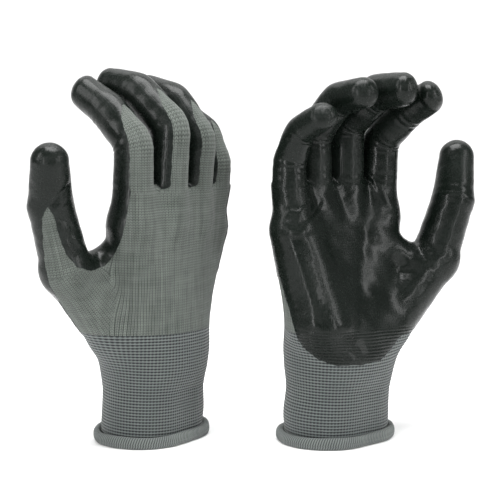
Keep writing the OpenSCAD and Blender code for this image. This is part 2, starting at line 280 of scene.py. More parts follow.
# ------------------------------------------------------------------ the skin's mesh
def nets(lo, hi, h):
    """Surface nets of the distance field on a regular grid."""
    ax = [np.arange(lo[i], hi[i] + h, h) for i in range(3)]
    shape = tuple(len(a) for a in ax)
    phi = np.empty(shape, np.float32)
    for i, x in enumerate(ax[0]):
        yy, zz = np.meshgrid(ax[1], ax[2], indexing="ij")
        p = np.stack([np.full(yy.size, x), yy.ravel(), zz.ravel()], -1).astype(np.float32)
        phi[i] = field(p).reshape(yy.shape)
    s = phi < 0
    nx, ny, nz = shape
    cnt = np.zeros((nx - 1, ny - 1, nz - 1), np.int8)
    corners = [(a, b, c) for a in (0, 1) for b in (0, 1) for c in (0, 1)]
    for a, b, c in corners:
        cnt += s[a : nx - 1 + a, b : ny - 1 + b, c : nz - 1 + c]
    active = (cnt > 0) & (cnt < 8)
    ijk = np.argwhere(active)
    ids = np.full(active.shape, -1, np.int64)
    ids[active] = np.arange(len(ijk))
    acc, w = np.zeros((len(ijk), 3)), np.zeros(len(ijk))
    for a in corners:
        for axis in range(3):
            if a[axis]:
                continue
            b = list(a)
            b[axis] = 1
            pa = ijk + np.array(a)
            pb = ijk + np.array(b)
            va, vb = phi[tuple(pa.T)], phi[tuple(pb.T)]
            cr = (va < 0) != (vb < 0)
            t = np.where(cr, va / np.where(cr, va - vb, 1), 0)
            pt = np.array(a)[None] + t[:, None] * (np.array(b) - np.array(a))[None]
            acc += np.where(cr[:, None], pt, 0)
            w += cr
    v = np.array(lo)[None] + h * (ijk + acc / w[:, None])
    quads = []
    for axis in range(3):
        o = [i for i in range(3) if i != axis]
        sl0, sl1 = [slice(None)] * 3, [slice(None)] * 3
        sl0[axis], sl1[axis] = slice(0, -1), slice(1, None)
        s0, s1 = s[tuple(sl0)], s[tuple(sl1)]
        e = np.argwhere(s0 != s1)
        ok = np.all([(e[:, k] > 0) & (e[:, k] < shape[k] - 1) for k in o], 0)
        e = e[ok]
        inside = s0[tuple(e.T)]
        cs = []
        for da, db in ((-1, -1), (0, -1), (0, 0), (-1, 0)):
            q = e.copy()
            q[:, o[0]] += da
            q[:, o[1]] += db
            cs.append(ids[tuple(q.T)])
        cs = np.stack(cs, 1)
        flip = inside if axis != 1 else ~inside
        cs = np.where(flip[:, None], cs, cs[:, ::-1])
        quads.append(cs)
    return v, np.concatenate(quads)


def neighbours(f, n):
    e = np.concatenate([f[:, [0, 1]], f[:, [1, 2]], f[:, [2, 0]]])
    e = np.sort(e, 1)
    e, c = np.unique(e, axis=0, return_counts=True)
    return e, c


def normals(v, f):
    a, b, c = v[f[:, 0]], v[f[:, 1]], v[f[:, 2]]
    fn = np.cross(b - a, c - a)
    n = np.zeros_like(v)
    for k in range(3):
        for j in range(3):
            n[:, j] += np.bincount(f[:, k], fn[:, j], len(v))
    return n / np.maximum(np.linalg.norm(n, axis=1), 1e-12)[:, None]


def skin():
    h = 1.15
    v, q = nets((-63.0, -37.0, 40.5), (90.0, 36.0, 234.0), h)
    d1 = np.linalg.norm(v[q[:, 0]] - v[q[:, 2]], axis=1)
    d2 = np.linalg.norm(v[q[:, 1]] - v[q[:, 3]], axis=1)
    a = np.where((d1 <= d2)[:, None, None], q[:, [[0, 1, 2], [0, 2, 3]]], q[:, [[1, 2, 3], [1, 3, 0]]])
    f = a.reshape(-1, 3)
    e, cnt = neighbours(f, len(v))
    edge = np.zeros(len(v), bool)
    edge[e[cnt == 1].ravel()] = True
    deg = np.bincount(e.ravel(), minlength=len(v)).astype(float)
    for it in range(5):
        if it:
            s = np.zeros_like(v)
            for j in range(3):
                s[:, j] = np.bincount(e[:, 0], v[e[:, 1], j], len(v)) + np.bincount(e[:, 1], v[e[:, 0], j], len(v))
            m = s / np.maximum(deg, 1)[:, None]
            v = np.where(edge[:, None], v, v + 0.6 * (m - v))
        g = gradient(v)
        g2 = np.maximum((g * g).sum(1), 0.2)
        v = v - (field(v) / g2)[:, None] * g
    n = normals(v, f)
    if (n * gradient(v)).sum() < 0:
        f = f[:, ::-1]
    return v, f


def polygon(p, poly):
    """Distance to a polygon, positive inside."""
    poly = np.asarray(poly, float)
    q = np.roll(poly, -1, 0)
    best = np.full(len(p), 1e9)
    inside = np.zeros(len(p), bool)
    for a, b in zip(poly, q):
        d = b - a
        t = np.clip((p - a) @ d / (d @ d), 0, 1)
        best = np.minimum(best, np.linalg.norm(p - a - t[:, None] * d, axis=1))
        cr = (a[1] > p[:, 1]) != (b[1] > p[:, 1])
        xs = a[0] + (p[:, 1] - a[1]) * d[0] / (d[1] if abs(d[1]) > 1e-9 else 1e-9)
        inside ^= cr & (p[:, 0] < xs)
    return np.where(inside, best, -best)


def polyline(p, pts):
    """Distance to a line of points, the share of the way along it, and the side."""
    pts = np.asarray(pts, float)
    best, along, side = np.full(len(p), 1e9), np.zeros(len(p)), np.zeros(len(p))
    n = len(pts) - 1
    for i, (a, b) in enumerate(zip(pts[:-1], pts[1:])):
        d = b - a
        t = np.clip((p - a) @ d / (d @ d), 0, 1)
        q = p - a - t[:, None] * d
        r = np.linalg.norm(q, axis=1)
        near = r < best
        best = np.where(near, r, best)
        along = np.where(near, (i + t) / n, along)
        side = np.where(near, np.sign(d[0] * q[:, 1] - d[1] * q[:, 0]), side)
    return best, along, side


# bare knit of the glove seen from the back, and coating of the one seen from the palm, in picture coordinates
GREY_A = [
    (47.5, 207), (53.6, 215), (59, 236), (66, 254), (77, 267), (91, 271), (105, 266), (116, 252), (122.5, 236),
    (126, 220), (128.6, 205), (131, 191), (132, 167), (129, 151), (124, 140), (260, 120), (260, 500), (70, 500),
    (66, 312), (58, 299), (50, 286), (46, 271), (43, 245), (42, 218),
]
BLACK_B = [
    (262, 278), (280, 278), (284, 292), (288, 305), (292, 319), (296, 335), (304, 348), (319, 360), (338, 366),
    (362, 365), (381, 360), (390, 350), (400, 336), (412, 331), (490, 331), (490, 40), (262, 40),
]


def finger_id(c):
    """Which finger a canonical point above the seam belongs to, by the mid-planes."""
    k = np.zeros(len(c), int)
    for j in range(3):
        k += mid_plane(c, j) < 0
    return k


def mid_plane(c, j):
    s = bow(c[:, 2] - SEAM)
    a, b = FG[j], FG[j + 1]
    return c[:, 0] - ((a.x + a.spread * s) + (b.x + b.spread * s)) / 2


TH_AXIS = (TH[2] - TH0) / np.linalg.norm(TH[2] - TH0)


def thumb_side(c):
    return np.where(c[:, 2] > 172, -5.0, c[:, 0] - (47.0 + 0.15 * (c[:, 2] - 107.0)))


def build():
    """The bent skin as one table: 0:3 place, 3:6 normal, 6:9 canonical place, 9 coating, 10 thumb share."""
    c, f = skin()
    thumb = (thumb_side(c) > 0) & ((c - TH0) @ TH_AXIS > -9)
    fid = finger_id(c)
    v = c.copy()
    for fg in FG:
        k = (c[:, 2] > SEAM) & ~thumb & (fid == fg.i)
        v[k] = fg.pose(c[k])
    n = normals(v, f)
    # coating
    wa, wb = place("a", v), place("b", v)
    pa, pb = pixels(wa), pixels(wb)
    fa = (turn("a", n) * (CAM - wa)).sum(1) / np.linalg.norm(CAM - wa, axis=1)
    fb = (turn("b", n) * (CAM - wb)).sum(1) / np.linalg.norm(CAM - wb, axis=1)
    ga = np.clip(-polygon(pa, GREY_A) / 1.8, -7, 7)
    gb = np.clip(polygon(pb, BLACK_B) / 1.8, -7, 7)
    w = step(-0.14, 0.1, fa)
    m = w * ga + (1 - w) * gb
    half = {"index": (64, 54), "middle": (44, 60), "ring": (42, 60), "pinky": (46, 60)}  # thumb side, little side
    for fg in FG:
        k = (c[:, 2] > SEAM - 4) & ~thumb & (fid == fg.i)
        lx, ly, s = fg.local(c[k])
        r = fg.radius(np.maximum(s, 0))
        al = np.abs(np.arctan2(lx, ly))
        a0 = np.radians(np.where(lx > 0, *half[fg.name]))
        share = {"index": 0.78, "middle": 0.70, "ring": 0.74, "pinky": 1.15}[fg.name]
        s2 = fg.pip + share * (fg.dip - fg.pip)
        s1 = min(fg.pip - 4, s2 - 16)
        u = np.clip((s - s1) / (s2 - s1), 0, 1)
        ab = a0 * (1 - u**2.3)
        mf = r * (al - ab) * np.where(s > s2, 1, 0.9) + 0.8 * np.maximum(s - s2, 0)
        e = step(-1.5, 4.0, s)
        m[k] = (1 - e) * np.clip(m[k], -5, 5) + e * mf
    m += 0.13 * np.sin(c[:, 0] * 0.9 + c[:, 2] * 0.55) + 0.09 * np.sin(c[:, 2] * 1.3 - c[:, 1] * 0.8)
    # folds and creases
    back = np.clip(-n[:, 1], 0, 1)
    h = 0.11 * np.sin(0.31 * v[:, 0] + 0.22 * v[:, 2] + 1.0) * np.sin(0.27 * v[:, 2] - 0.33 * v[:, 1])
    h += 0.05 * np.sin(0.71 * v[:, 0] - 0.52 * v[:, 2]) * np.sin(0.63 * v[:, 2] + 0.8 * v[:, 1] + 2)
    seen = step(0.05, 0.35, fb) * (c[:, 2] < SEAM + 6)
    for pts, amp, wid in (
        ([(363, 160), (371, 176), (384, 196), (393, 212)], 0.75, 3.2),
        ([(340, 166), (338, 182), (341, 199)], 0.5, 3.2),
        ([(371, 178), (368, 205), (365, 239), (362, 272), (359, 302)], -1.1, 7.0),
        ([(291, 232), (300, 262), (311, 292), (321, 342)], 0.8, 6.0),
        ([(402, 217), (414, 240), (427, 262)], -0.8, 3.6),
        ([(396, 232), (404, 252), (412, 268)], 0.35, 4.0),
        ([(284, 222), (297, 226), (312, 214), (322, 198)], -0.6, 3.4),
        ([(287, 212), (299, 213), (311, 202)], 0.4, 3.0),
        ([(288, 232), (302, 234), (316, 226)], 0.45, 3.4),
        ([(322, 232), (350, 224), (378, 232)], -0.25, 5.0),
    ):
        d, al, side = polyline(pb, pts)
        taper = np.clip(np.minimum(al, 1 - al) * 4, 0, 1) ** 0.5
        h += seen * taper * amp * (np.exp(-((d / wid) ** 2)) - 0.12 * np.exp(-(((d - 2.2 * wid) / wid) ** 2)))
    seen = step(0.05, 0.35, fa) * (thumb | (c[:, 2] < SEAM + 4))
    for pts, amp, wid in (
        ([(50, 206), (57, 197), (64, 190), (71, 181)], -0.8, 2.4),
        ([(54, 212), (62, 203), (70, 196)], 0.55, 2.2),
        ([(57, 214), (66, 222), (75, 232)], -0.5, 2.4),
        ([(72, 236), (82, 247), (92, 252)], 0.4, 2.4),
        ([(62, 262), (72, 277), (90, 284), (108, 277), (120, 262)], -0.35, 3.0),
        ([(66, 311), (90, 304), (120, 296)], -0.35, 3.5),
        ([(160, 300), (178, 285), (190, 262)], -0.3, 4.0),
    ):
        d, al, side = polyline(pa, pts)
        taper = np.clip(np.minimum(al, 1 - al) * 4, 0, 1) ** 0.5
        h += seen * taper * amp * np.exp(-((d / wid) ** 2))
    for fg in FG:
        k = (c[:, 2] > SEAM) & ~thumb & (fid == fg.i)
        lx, ly, s = fg.local(c[k])
        r = fg.radius(s)
        pal = np.clip(-ly / r, 0, 1) ** 1.2
        side = np.clip(np.abs(lx) / r, 0, 1) ** 3
        for j, amp, p in ((fg.pip, 0.24, 5.4), (fg.dip, 0.16, 4.8), (4.0, 0.10, 5.0)):
            h[k] += amp * np.cos(2 * np.pi * (s - j) / p) * np.exp(-(((s - j) / 5.5) ** 2)) * (pal + 0.35 * side)
        dor = np.clip(ly / r, 0, 1) ** 2
        h[k] += 0.10 * dor * np.cos(2 * np.pi * (s - fg.pip) / 4.0) * np.exp(-(((s - fg.pip) / 8.0) ** 2))
    kt = thumb
    ta = (c[kt] - TH[2]) @ ((TH[3] - TH[2]) / np.linalg.norm(TH[3] - TH[2]))
    h[kt] += 0.14 * np.cos(2 * np.pi * ta / 5.0) * np.exp(-((ta / 6.0) ** 2)) * np.clip(n[kt] @ np.array([-0.6, -0.8, 0]) + 0.3, 0, 1)
    h *= step(62, 70, c[:, 2])
    v = v + n * h[:, None]
    n = normals(v, f)
    ts = step(-3, 3, palm_field(c) - thumb_field(c) - 1.0 - 9.0 * step(94, 66, c[:, 2]))
    return np.concatenate([v, n, c, m[:, None], ts[:, None], h[:, None]], 1), f


def split(t, f, s, snap=0.1):
    """Cuts triangles along s = 0 and keeps both sides; the table's columns are carried to the new points."""
    s = np.where(np.abs(s) < snap, 0.0, s)
    sg = np.sign(s).astype(int)
    tri = sg[f]
    lo, hi = tri.min(1), tri.max(1)
    cut = (lo < 0) & (hi > 0)
    keep = f[~cut]
    c, cs = f[cut], tri[cut]
    if not len(c):
        return t, f, s
    one = (cs == 0).any(1)
    out = [keep]
    edges, jobs = [], []
    if one.any():
        a, sa = c[one], cs[one]
        z = (sa == 0).argmax(1)
        r = np.arange(len(a))
        a = np.stack([a[r, z], a[r, (z + 1) % 3], a[r, (z + 2) % 3]], 1)
        jobs.append(("one", a))
        edges.append(np.sort(a[:, 1:3], 1))
    two = ~one
    if two.any():
        a, sa = c[two], cs[two]
        odd = np.where(sa.sum(1) > 0, -1, 1)
        z = (sa == odd[:, None]).argmax(1)
        r = np.arange(len(a))
        a = np.stack([a[r, z], a[r, (z + 1) % 3], a[r, (z + 2) % 3]], 1)
        jobs.append(("two", a))
        edges.append(np.sort(a[:, [0, 1]], 1))
        edges.append(np.sort(a[:, [0, 2]], 1))
    e = np.concatenate(edges)
    u, inv = np.unique(e, axis=0, return_inverse=True)
    inv = inv.reshape(-1)
    w = s[u[:, 0]] / (s[u[:, 0]] - s[u[:, 1]])
    new = t[u[:, 0]] + w[:, None] * (t[u[:, 1]] - t[u[:, 0]])
    ids = len(t) + inv
    at = 0
    for kind, a in jobs:
        k = len(a)
        if kind == "one":
            m = ids[at : at + k]
            at += k
            out += [np.stack([a[:, 0], a[:, 1], m], 1), np.stack([a[:, 0], m, a[:, 2]], 1)]
        else:
            p, q = ids[at : at + k], ids[at + k : at + 2 * k]
            at += 2 * k
            out += [
                np.stack([a[:, 0], p, q], 1),
                np.stack([p, a[:, 1], a[:, 2]], 1),
                np.stack([p, a[:, 2], q], 1),
            ]
    t = np.concatenate([t, new])
    t[:, 3:6] /= np.maximum(np.linalg.norm(t[:, 3:6], axis=1), 1e-9)[:, None]
    return t, np.concatenate(out), np.concatenate([s, np.zeros(len(new))])


# where each finger's second piece starts, and where the blends start and end (mm along the finger's middle line)
ROOT_BLEND = {"index": (142.5, 155.5), "middle": (142.5, 160.0), "ring": (142.0, 156.5), "pinky": (141.6, 149.4)}
TILT = math.radians(9)


def seam_of(fg):
    """Point and direction of the cut between a finger's two pieces, and the blend across its knuckle."""
    x, y, z, b1, b2, b3 = BONES[fg.name]
    f1 = math.radians(b1[1])
    pivot = np.array([x, y - b1[0] * math.sin(f1), z + b1[0] * math.cos(f1)])
    d = np.array([0, -math.sin(f1 + TILT), math.cos(f1 + TILT)])
    half = {"index": 7.8, "middle": 8.6, "ring": 8.0, "pinky": 3.9}[fg.name]
    tilt_drop = fg.r[1] * math.sin(abs(f1 + TILT)) + 0.2
    at = pivot - d * (half + 0.4)
    return pivot, d, half, at, tilt_drop


def parts():
    t, f = build()
    c = lambda: t[:, 6:9]
    is_thumb = lambda: np.minimum((c() - TH0) @ TH_AXIS + 9.0, thumb_side(c()))
    t, f, _ = split(t, f, c()[:, 2] - CUFF_TOP)
    s = np.where(is_thumb() > 0, -5.0, c()[:, 2] - SEAM)
    t, f, _ = split(t, f, s)
    for j in range(3):
        s = np.where(c()[:, 2] > 100, mid_plane(c(), j), 5.0 - 10.0 * (j < 0))
        s = np.where(c()[:, 2] < SEAM - 0.2, np.where(mid_plane(c(), j) > 0, 5.0, -5.0), s)
        t, f, _ = split(t, f, s)
    s = np.where(c()[:, 0] > 30, is_thumb(), -5.0)
    t, f, _ = split(t, f, s)
    thumb = is_thumb() > -1e-6
    fid = finger_id(c())
    for fg in FG:
        pivot, d, half, at, drop = seam_of(fg)
        mine = (c()[:, 2] > SEAM + 1) & (is_thumb() < 0) & (finger_id(c()) == fg.i)
        s = np.where(mine, (t[:, 0:3] - at) @ d, -5.0)
        t, f, _ = split(t, f, s)
    s = np.where(is_thumb() > 0, (c() - TH0) @ TH_AXIS - 10.6, -5.0)
    t, f, _ = split(t, f, s)
    t, f, _ = split(t, f, t[:, 9], 0.06)
    # labels by the middle of each face
    mid = t[f].mean(1)
    mc = mid[:, 6:9]
    th = np.minimum((mc - TH0) @ TH_AXIS + 9.0, thumb_side(mc)) > 0
    fi = finger_id(mc)
    label = np.zeros(len(f), int)
    label[th] = np.where((mc[th] - TH0) @ TH_AXIS > 10.6, 10, 5)
    for fg in FG:
        k = (mc[:, 2] > SEAM) & ~th & (fi == fg.i)
        pivot, d, half, at, drop = seam_of(fg)
        label[k] = np.where((mid[k, 0:3] - at) @ d > 0, 6 + fg.i, 1 + fg.i)
    return t, f, label, mid[:, 9] > 0, mc[:, 2] > CUFF_TOP


def stitch_uv(t, label):
    """Wales (u) and courses (v), one unit a stitch, for the table's points seen as part of one piece."""
    c = t[:, 6:9]
    if label in (5, 10):
        return thumb_uv(t)
    if label:
        fg = FG[(label - 1) % 5]
        lx, ly, s = fg.local(c)
        n = 36 if fg.name != "pinky" else 32
        return np.stack([np.arctan2(lx, ly) / (2 * np.pi) * n, s / 1.35], -1), n
    z = c[:, 2]
    fl = np.interp(z, [50, 125], [CUFF_F, 31.0])
    r = np.interp(z, [50, 125], [CUFF_R, 13.0])
    x = c[:, 0] - CUFF_X * np.interp(z, [50, 100], [1, 0])
    y = c[:, 1] - np.interp(z, [60, 125], [0, 8])
    per = 4 * fl + 2 * np.pi * r
    over = np.maximum(np.abs(x) - fl, 0)
    a = np.arctan2(over, y)
    u = np.sign(x) * np.where(np.abs(x) > fl, fl + r * np.clip(a, 0, np.pi), np.where(y > 0, np.abs(x), 2 * fl + np.pi * r - np.abs(x)))
    n = 126
    return np.stack([u / per * n, (z - 60) / 1.4 + 0.02 * x], -1), n


def thumb_uv(t):
    c = t[:, 6:9]
    best = np.full(len(c), 1e9)
    uv = np.zeros((len(c), 2))
    run = 0.0
    for a, b in zip(TH[:-1], TH[1:]):
        d = b - a
        ln = np.linalg.norm(d)
        k = (c - a) @ d / ln
        kc = np.clip(k, 0 if run else -40, ln)
        q = c - a - (kc / ln)[:, None] * d
        r = np.linalg.norm(q, axis=1)
        e1 = np.array([0.97, 0.21, 0.0])
        e1 = e1 - d * (e1 @ d) / ln**2
        e1 /= np.linalg.norm(e1)
        e2 = np.cross(d / ln, e1)
        near = r < best
        best = np.where(near, r, best)
        uv[near, 0] = (np.arctan2(q @ e2, q @ e1) / (2 * np.pi) * 46)[near]
        uv[near, 1] = ((run + k) / 1.35)[near]
        run += ln
    return uv, 46


def corner_uv(uv, n, f):
    """Per-corner coordinates, with the jump at the back of the tube taken out."""
    q = uv[f]
    u = q[..., 0]
    ref = u[:, :1]
    q[..., 0] = u - n * np.round((u - ref) / n)
    return q


def mesh_object(name, v, f, nrm=None, uvs=(), attrs=()):
    me = bpy.data.meshes.new(name)
    me.vertices.add(len(v))
    me.vertices.foreach_set("co", (v * MM).astype(np.float32).ravel())
    me.loops.add(f.size)
    me.loops.foreach_set("vertex_index", f.astype(np.int32).ravel())
    me.polygons.add(len(f))
    k = f.shape[1]
    me.polygons.foreach_set("loop_start", np.arange(0, f.size, k, dtype=np.int32))
    me.polygons.foreach_set("loop_total", np.full(len(f), k, np.int32))
    me.update(calc_edges=True)
    me.validate()
    me.polygons.foreach_set("use_smooth", np.ones(len(f), bool))
    for uname, q in uvs:
        layer = me.uv_layers.new(name=uname)
        layer.uv.foreach_set("vector", q.astype(np.float32).ravel())
    for aname, q in attrs:
        at = me.attributes.new(aname, "FLOAT", "POINT")
        at.data.foreach_set("value", q.astype(np.float32))
    if nrm is not None:
        me.normals_split_custom_set(nrm.reshape(-1, 3))
    ob = bpy.data.objects.new(name, me)
    bpy.context.scene.collection.objects.link(ob)
    return ob


def shell(g, name, t, f, label, out, inn, uvs):
    """A closed shell from a part of the skin: outer wall, inner wall, and the rim between them."""
    used, inv = np.unique(f, return_inverse=True)
    f = inv.reshape(-1, 3)
    q = t[used]
    n = len(q)
    o_out = out(q) if callable(out) else np.full(n, out)
    o_in = inn(q) if callable(inn) else np.full(n, inn)
    vo = place(g, q[:, 0:3] + q[:, 3:6] * o_out[:, None])
    vi = place(g, q[:, 0:3] + q[:, 3:6] * o_in[:, None])
    nw = turn(g, q[:, 3:6])
    e = np.concatenate([f[:, [0, 1]], f[:, [1, 2]], f[:, [2, 0]]])
    key = np.sort(e, 1)
    u, idx, cnt = np.unique(key, axis=0, return_index=True, return_counts=True)
    rim = e[idx[cnt == 1]]
    fr = np.concatenate(
        [np.stack([rim[:, 0], rim[:, 0] + n, rim[:, 1]], 1), np.stack([rim[:, 1], rim[:, 0] + n, rim[:, 1] + n], 1)]
    )
    faces = np.concatenate([f, f[:, ::-1] + n, fr])
    v = np.concatenate([vo, vi])
    a, b, c = v[fr[:, 0]], v[fr[:, 1]], v[fr[:, 2]]
    fn = np.cross(b - a, c - a)
    fn /= np.maximum(np.linalg.norm(fn, axis=1), 1e-9)[:, None]
    ln = np.concatenate([nw[f], -nw[f[:, ::-1]], np.repeat(fn[:, None], 3, 1)])
    layers = []
    for uname, fun in uvs:
        uv, wrap = fun(q)
        uv = np.concatenate([uv, uv])
        layers.append((uname, corner_uv(uv, wrap, faces)))
    attrs = [
        ("coat", np.concatenate([q[:, 9]] * 2)),
        ("thumb", np.concatenate([q[:, 10]] * 2)),
        ("fold", np.concatenate([q[:, 11]] * 2)),
    ]
    return mesh_object(name, v, faces, ln, layers, attrs)


# ------------------------------------------------------------------ the ribbed cuff and the hem
def stadium(u, r=CUFF_R, fl=CUFF_F):
    """Point and outward direction at share u of the way round the cuff's outline, starting at the back's middle."""
    per = 4 * fl + 2 * np.pi * r
    s = (u % 1.0) * per
    seg = [fl, np.pi * r, 2 * fl, np.pi * r, fl]
    e = np.cumsum(seg)
    x, y, nx, ny = (np.zeros_like(s) for _ in range(4))
    k = s <= e[0]
    x[k], y[k], ny[k] = s[k], r, 1
    k = (s > e[0]) & (s <= e[1])
    a = (s[k] - e[0]) / r
    x[k], y[k], nx[k], ny[k] = fl + r * np.sin(a), r * np.cos(a), np.sin(a), np.cos(a)
    k = (s > e[1]) & (s <= e[2])
    x[k], y[k], ny[k] = fl - (s[k] - e[1]), -r, -1
    k = (s > e[2]) & (s <= e[3])
    a = (s[k] - e[2]) / r
    x[k], y[k], nx[k], ny[k] = -fl - r * np.sin(a), -r * np.cos(a), -np.sin(a), -np.cos(a)
    k = s > e[3]
    x[k], y[k], ny[k] = -fl + (s[k] - e[3]), r, 1
    return np.stack([x + CUFF_X, y], -1), np.stack([nx, ny], -1)


WALES = 98
COURSE = 1.68


def grid_faces(rows, cols, close_rows=False):
    i, j = np.meshgrid(np.arange(rows if close_rows else rows - 1), np.arange(cols), indexing="ij")
    a = i * cols + j
    b = i * cols + (j + 1) % cols
    c = ((i + 1) % rows) * cols + (j + 1) % cols
    d = ((i + 1) % rows) * cols + j
    return np.stack([a, b, c, d], -1).reshape(-1, 4)


def cuff_table():
    per = 5
    cols = WALES * per
    u = np.arange(cols) / cols
    p, n = stadium(u)
    zs = np.arange(4.6, CUFF_TOP + 1.8, COURSE / 5)
    out = []
    lo_off, first = None, True
    rows = []
    for z in zs:
        lo, hi = np.full(cols, -9.0), np.full(cols, 26.0)
        if z <= 30:
            d = np.zeros(cols)
        else:
            for _ in range(16):
                mid = (lo + hi) / 2
                q = np.concatenate([p + n * mid[:, None], np.full((cols, 1), z)], 1)
                ins = field(q.astype(np.float32)) < 0
                lo, hi = np.where(ins, mid, lo), np.where(ins, hi, mid)
            d = (lo + hi) / 2
        rows.append(d)
    d = np.array(rows)
    uu, vv = np.meshgrid(u * WALES, zs / COURSE, indexing="ij")
    uu, vv = uu.T, vv.T
    fade = step(6.0, 8.5, zs)[:, None] * (1 - step(CUFF_TOP - 1.0, CUFF_TOP + 0.3, zs))[:, None]
    shift = 0.5 * (np.floor(uu) % 2) * 0
    ridge = np.sqrt(np.abs(np.cos(np.pi * (vv + shift)))) - 0.72
    wale = np.abs(np.cos(np.pi * uu))
    hole = np.exp(-((np.minimum(uu % 1, 1 - uu % 1) / 0.2) ** 2)) * np.exp(-((np.abs((vv % 1) - 0.5) / 0.24) ** 2))
    h = 0.34 * ridge + 0.10 * (wale - 0.6) - 0.34 * hole
    h += 0.14 * np.sin(uu * 2 * np.pi * 3 / WALES + 0.6) * np.sin(vv * 0.35)
    top = -1.1 * step(CUFF_TOP, CUFF_TOP + 1.4, zs)[:, None]
    belly = 1.8 * np.exp(-(((zs - 15) / 8.0) ** 2))[:, None] * np.clip(-n[None, :, 0], 0, 1) ** 2
    d = d + fade * h + top + belly
    xy = p[None] + n[None] * d[..., None]
    v = np.concatenate([xy, np.broadcast_to(zs[:, None, None], (*d.shape, 1))], -1)
    # inner wall, coarse in height
    rows_in = np.linspace(len(zs) - 1, 0, 12).astype(int)
    inner = [
        np.concatenate([p + n * ((np.array(rows[k])) - 1.8 - (1.1 if zs[k] > CUFF_TOP + 1 else 0))[:, None], np.full((cols, 1), zs[k])], 1)
        for k in rows_in
    ]
    allv = np.concatenate([v, np.array(inner)])
    rws = allv.shape[0]
    f = grid_faces(rws, cols, True)
    vrow = np.concatenate([zs / COURSE, zs[rows_in] / COURSE])
    uvg = np.stack(np.broadcast_arrays((u * WALES)[None, :], vrow[:, None]), -1).reshape(-1, 2)
    return allv.reshape(-1, 3), f, uvg


def hem_table():
    """The overlocked roll: a flattened ring with slanted thread ridges."""
    turns = 150
    cols = turns * 6
    u = np.arange(cols) / cols
    p, n = stadium(u)
    mid, hw, hh = 2.35, 1.95, 3.25
    ring = 26
    th = np.arange(ring) / ring * 2 * np.pi
    out = []
    for k, a in enumerate(th):
        ca, sa = math.cos(a), math.sin(a)
        e = 2.6
        rr = (abs(ca) ** e + abs(sa) ** e) ** (-1 / e)
        ox, oz = hw * rr * ca, hh * rr * sa
        face = step(-0.75, -0.35, np.array(sa)) * 1.0
        ph = u * turns + 0.42 * a * 2
        rid = 0.20 * (np.abs(np.sin(np.pi * ph)) ** 0.8 - 0.6) * float(face)
        wob = 0.16 * np.sin(2 * np.pi * u * 7 + 1) + 0.12 * np.sin(2 * np.pi * u * 17)
        off = mid + ox + rid * ca + wob * (0.4 + 0.6 * ca)
        z = 3.25 + oz + rid * sa * 0.8 + (0.25 * np.sin(2 * np.pi * u * 5 + 0.7) * max(0.0, sa))
        z = np.maximum(z, 0.0)
        out.append(np.concatenate([p + n * off[:, None], z[:, None]], 1))
    v = np.array(out)
    f = grid_faces(ring, cols, True)[:, ::-1]
    uv = np.stack(np.broadcast_arrays((u * turns)[None, :], (np.arange(ring) / ring)[:, None]), -1).reshape(-1, 2)
    return v.reshape(-1, 3), f, uv, turns, ring


def place_flat(g, p):
    y = math.radians(YAW[g])
    return np.stack(
        [
            p[:, 0] * math.cos(y) - p[:, 1] * math.sin(y) + PAIR_X + SIDE[g] * PAIR / 2,
            p[:, 0] * math.sin(y) + p[:, 1] * math.cos(y) + PAIR_Y,
            p[:, 2],
        ],
        -1,
    )


def outward(v, f):
    """Turns faces so that the closed mesh's volume is positive."""
    a, b, c = v[f[:, 0]], v[f[:, 1]], v[f[:, 2]]
    return f if (np.cross(a, b) * c).sum() > 0 else f[:, ::-1]


def grid_object(name, v, f, uv, wrap_u, wrap_v=None):
    f = outward(v, f)
    q = uv[f]
    q[..., 0] = q[..., 0] - wrap_u * np.round((q[..., 0] - q[:, :1, 0]) / wrap_u)
    if wrap_v:
        q[..., 1] = q[..., 1] - wrap_v * np.round((q[..., 1] - q[:, :1, 1]) / wrap_v)
    return mesh_object(name, v, f, None, [("stitch", q)])


# ------------------------------------------------------------------ materials
def new_material(name):
    m = bpy.data.materials.new(name)
    m.use_nodes = True
    nt = m.node_tree
    nt.nodes.clear()
    out = nt.nodes.new("ShaderNodeOutputMaterial")
    bs = nt.nodes.new("ShaderNodeBsdfPrincipled")
    nt.links.new(bs.outputs[0], out.inputs[0])
    return m, nt, bs


def node(nt, kind, **kw):
    n = nt.nodes.new(kind)
    for k, v in kw.items():
        setattr(n, k, v)
    return n


def put(nt, socket, v):
    if hasattr(v, "is_output"):
        nt.links.new(v, socket)
    else:
        socket.default_value = v


def math_(nt, op, a, b=None, c=None, clamp=False):
    n = node(nt, "ShaderNodeMath", operation=op, use_clamp=clamp)
    for i, x in enumerate((a, b, c)):
        if x is not None:
            put(nt, n.inputs[i], x)
    return n.outputs[0]


def ramp(nt, x, stops):
    n = node(nt, "ShaderNodeValToRGB")
    put(nt, n.inputs[0], x)
    el = n.color_ramp.elements
    while len(el) < len(stops):
        el.new(0.5)
    for e, (p, col) in zip(el, stops):
        e.position, e.color = p, (*col, 1) if len(col) == 3 else col
    return n.outputs[0]


def span(nt, x, a, b, c=0.0, d=1.0):
    n = node(nt, "ShaderNodeMapRange")
    put(nt, n.inputs[0], x)
    for i, q in enumerate((a, b, c, d)):
        n.inputs[i + 1].default_value = q
    return n.outputs[0]


def mix_col(nt, fac, a, b, blend="MIX"):
    n = node(nt, "ShaderNodeMix", data_type="RGBA", blend_type=blend)
    put(nt, n.inputs[0], fac)
    put(nt, n.inputs[6], (*a, 1) if isinstance(a, tuple) else a)
    put(nt, n.inputs[7], (*b, 1) if isinstance(b, tuple) else b)
    return n.outputs[2]


def mix_val(nt, fac, a, b):
    n = node(nt, "ShaderNodeMix", data_type="FLOAT")
    put(nt, n.inputs[0], fac)
    put(nt, n.inputs[2], a)
    put(nt, n.inputs[3], b)
    return n.outputs[0]


